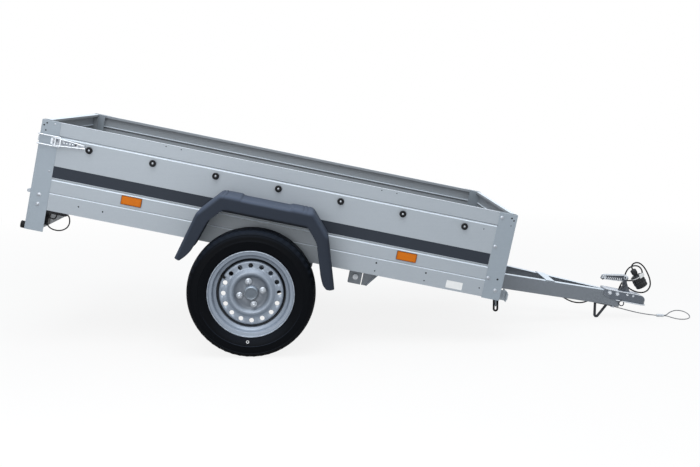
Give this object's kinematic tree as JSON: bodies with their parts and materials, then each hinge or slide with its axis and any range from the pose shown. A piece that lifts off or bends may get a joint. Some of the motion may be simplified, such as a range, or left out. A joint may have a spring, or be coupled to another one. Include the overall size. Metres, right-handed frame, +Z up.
{
  "type": "utility trailer",
  "caption": "Single-axle open utility trailer with pressed sheet sides, drop tailgate, mudguards, tilting A-frame drawbar and ball coupling.",
  "frame": {"origin": "middle of the underside of the bounding box of the trailer as it parks nose down on its wheels and front foot, without its loose cables", "axes": "+X forward to the coupling, +Y to the trailer's left, +Z up; the floor is Z = 0"},
  "size_m": [3.1308, 1.554, 1.0035],
  "materials": {
    "galvanised_sheet": "bright galvanised sheet with a faint spangle",
    "galvanised_heavy": "dull hot-dip galvanised",
    "zinc": "zinc plated",
    "dark_steel": "dark coated bar",
    "plywood": "film-faced plywood",
    "guard_plastic": "satin moulded plastic",
    "tyre": "matt rubber",
    "rim_paint": "silver paint",
    "black_plastic": "moulded",
    "black_rubber": "matt",
    "amber_lens": "gloss",
    "red_lens": "gloss",
    "white_lens": "gloss",
    "plate_blank": "blank white",
    "steel_cable": "galvanised wire rope"
  },
  "bodies": {
    "bed": {"side_walls": "galvanised_sheet", "front_wall": "galvanised_sheet", "rear_posts": "galvanised_sheet", "front_posts": "galvanised_sheet", "floor_panel": "plywood", "cross_members": "galvanised_heavy", "axle_tube": "galvanised_heavy", "axle_brackets": "galvanised_heavy", "swing_arms": "galvanised_heavy", "mudguards": "guard_plastic", "pivot_hangers": "galvanised_heavy", "pivot_bolts": "zinc", "sill_hinges": "zinc", "latch_levers": "zinc", "latch_bails": "zinc", "lamp_bar": "galvanised_sheet", "rear_lamps": "red_lens", "lamp_backs": "black_plastic", "cable_ducts": "black_plastic", "lamp_cables": "black_rubber", "licence_plate": "plate_blank", "side_reflectors": "amber_lens", "marker_brackets": "galvanised_sheet", "front_reflectors": "white_lens", "cover_knobs": "black_plastic", "rear_buffers": "black_rubber", "tilt_lock": "galvanised_heavy", "tilt_lock_handle": "dark_steel"},
    "tailgate": {"tailgate_panel": "galvanised_sheet", "gate_hinges": "zinc", "gate_hooks": "zinc", "gate_knobs": "black_plastic"},
    "wheel_right": {"tyre_right": "tyre", "rim_right": "rim_paint", "hub_right": "zinc"},
    "wheel_left": {"tyre_left": "tyre", "rim_left": "rim_paint", "hub_left": "zinc"},
    "drawbar": {"drawbar_beams": "galvanised_heavy", "drawbar_crossbar": "galvanised_heavy", "drawbar_strap": "galvanised_heavy", "drawbar_foot": "dark_steel", "coupling_head": "zinc", "coupling_handle": "zinc", "coupling_bolts": "zinc", "drawbar_cable": "black_rubber", "cable_gland": "black_rubber", "tow_cable": "black_rubber", "plug": "black_plastic", "safety_clip": "zinc", "safety_cable": "steel_cable", "safety_eye": "steel_cable", "safety_ferrule": "zinc"}
  },
  "joints": [
    {"name": "wheel_right_spin", "type": "hinge", "parent": "bed", "child": "wheel_right", "pos_m": [-0.45081, -0.6915, 0.2735], "axis": [0, 1, 0], "continuous": true},
    {"name": "wheel_left_spin", "type": "hinge", "parent": "bed", "child": "wheel_left", "pos_m": [-0.45081, 0.6915, 0.2735], "axis": [0, 1, 0], "continuous": true},
    {"name": "tailgate_hinge", "type": "hinge", "parent": "bed", "child": "tailgate", "pos_m": [-1.4089, 0, 0.69863], "axis": [0, -1, 0], "range_deg": [0, 180]},
    {"name": "tilt_pivot", "type": "hinge", "parent": "bed", "child": "drawbar", "pos_m": [0.00076, 0, 0.28648], "axis": [0, 1, 0], "range_deg": [0, 26]}
  ]
}
